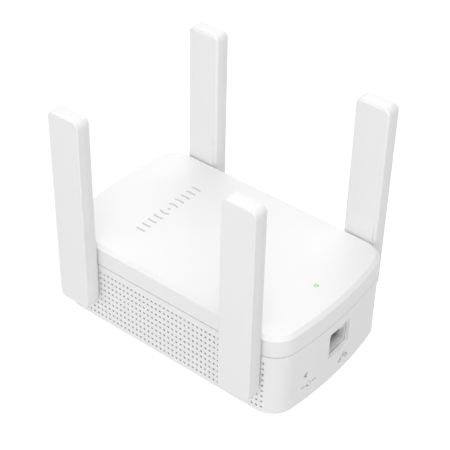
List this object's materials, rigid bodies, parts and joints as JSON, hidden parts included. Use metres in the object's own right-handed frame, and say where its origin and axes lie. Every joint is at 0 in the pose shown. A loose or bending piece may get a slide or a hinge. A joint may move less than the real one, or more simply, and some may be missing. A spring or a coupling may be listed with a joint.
{
  "type": "wifi range extender",
  "caption": "Wall-plug wifi range extender: low rounded case with vented sides, LAN socket and reset pinhole at one end, and flat fold-out antennas hinged on both long sides.",
  "frame": {"origin": "centre of the case's flat back face, which rests on the wall", "axes": "+Z out of the wall through the front face; +X along the case to the LAN socket end; +Y across the case; the mains blades reach below z = 0"},
  "size_m": [0.1156, 0.087, 0.1171],
  "materials": {
    "case_white": "fine moulded satin",
    "antenna_white": "fine moulded satin",
    "insulator_white": "smooth",
    "blade_metal": "nickel plated",
    "screw_steel": "zinc plated",
    "board_green": "solder mask",
    "radiator_board": "solder mask over copper",
    "chip_black": "moulded resin",
    "shield_metal": "tinned",
    "sink_aluminium": "anodised",
    "jack_plastic": "moulded",
    "contact_gold": "gold flash",
    "led_green": "lit lens",
    "pipe_clear": "clear moulded",
    "ferrite_grey": "sintered ferrite",
    "winding_tape": "polyester tape",
    "capacitor_sleeve": "shrink sleeve",
    "capacitor_box": "moulded box",
    "fuse_sleeve": "coated",
    "cable_black": "extruded jacket"
  },
  "bodies": {
    "root": {"rear_shell": "case_white", "front_cover": "case_white", "case_screws": "screw_steel", "board_screws": "screw_steel", "plug_blades": "blade_metal", "plug_insert": "insulator_white", "main_board": "board_green", "power_board": "board_green", "processor_chip": "chip_black", "radio_chips": "chip_black", "flash_chip": "chip_black", "heat_sink": "sink_aluminium", "radio_shields": "shield_metal", "crystal": "shield_metal", "lan_transformer": "chip_black", "lan_jack_housing": "jack_plastic", "lan_jack_contacts": "contact_gold", "antenna_sockets": "contact_gold", "status_led": "led_green", "light_pipe": "pipe_clear", "reset_switch": "chip_black", "board_link": "chip_black", "transformer_core": "ferrite_grey", "transformer_winding": "winding_tape", "transformer_base": "chip_black", "bulk_capacitors": "capacitor_sleeve", "output_capacitor": "capacitor_sleeve", "safety_capacitor": "capacitor_box", "filter_choke": "ferrite_grey", "fuse": "fuse_sleeve", "rectifier": "chip_black", "hinge_washers": "screw_steel", "coax_lead_top_left": "cable_black", "coax_lead_bottom_left": "cable_black", "coax_lead_top_right": "cable_black", "coax_lead_bottom_right": "cable_black"},
    "antenna_top_left": {"antenna_top_left_outer_cover": "antenna_white", "antenna_top_left_inner_cover": "antenna_white", "antenna_top_left_radiator": "radiator_board", "antenna_top_left_lead": "cable_black", "antenna_top_left_clip": "screw_steel"},
    "antenna_bottom_left": {"antenna_bottom_left_outer_cover": "antenna_white", "antenna_bottom_left_inner_cover": "antenna_white", "antenna_bottom_left_radiator": "radiator_board", "antenna_bottom_left_lead": "cable_black", "antenna_bottom_left_clip": "screw_steel"},
    "antenna_top_right": {"antenna_top_right_outer_cover": "antenna_white", "antenna_top_right_inner_cover": "antenna_white", "antenna_top_right_radiator": "radiator_board", "antenna_top_right_lead": "cable_black", "antenna_top_right_clip": "screw_steel"},
    "antenna_bottom_right": {"antenna_bottom_right_outer_cover": "antenna_white", "antenna_bottom_right_inner_cover": "antenna_white", "antenna_bottom_right_radiator": "radiator_board", "antenna_bottom_right_lead": "cable_black", "antenna_bottom_right_clip": "screw_steel"},
    "reset_button": {"reset_plunger": "insulator_white"}
  },
  "joints": [
    {"name": "antenna_top_left_hinge", "type": "hinge", "parent": "root", "child": "antenna_top_left", "pos_m": [-0.0404, -0.0366, 0.01905], "axis": [0, -1, 0], "range_deg": [-20, 90]},
    {"name": "antenna_bottom_left_hinge", "type": "hinge", "parent": "root", "child": "antenna_bottom_left", "pos_m": [0.0404, -0.0366, 0.01905], "axis": [0, 1, 0], "range_deg": [-20, 90]},
    {"name": "antenna_top_right_hinge", "type": "hinge", "parent": "root", "child": "antenna_top_right", "pos_m": [-0.0404, 0.0366, 0.01905], "axis": [0, -1, 0], "range_deg": [-20, 90]},
    {"name": "antenna_bottom_right_hinge", "type": "hinge", "parent": "root", "child": "antenna_bottom_right", "pos_m": [0.0404, 0.0366, 0.01905], "axis": [0, 1, 0], "range_deg": [-20, 90]},
    {"name": "reset_press", "type": "slide", "parent": "root", "child": "reset_button", "axis": [-1, 0, 0], "range_m": [0, 0.0003], "stiffness_N_per_m": 2000}
  ]
}
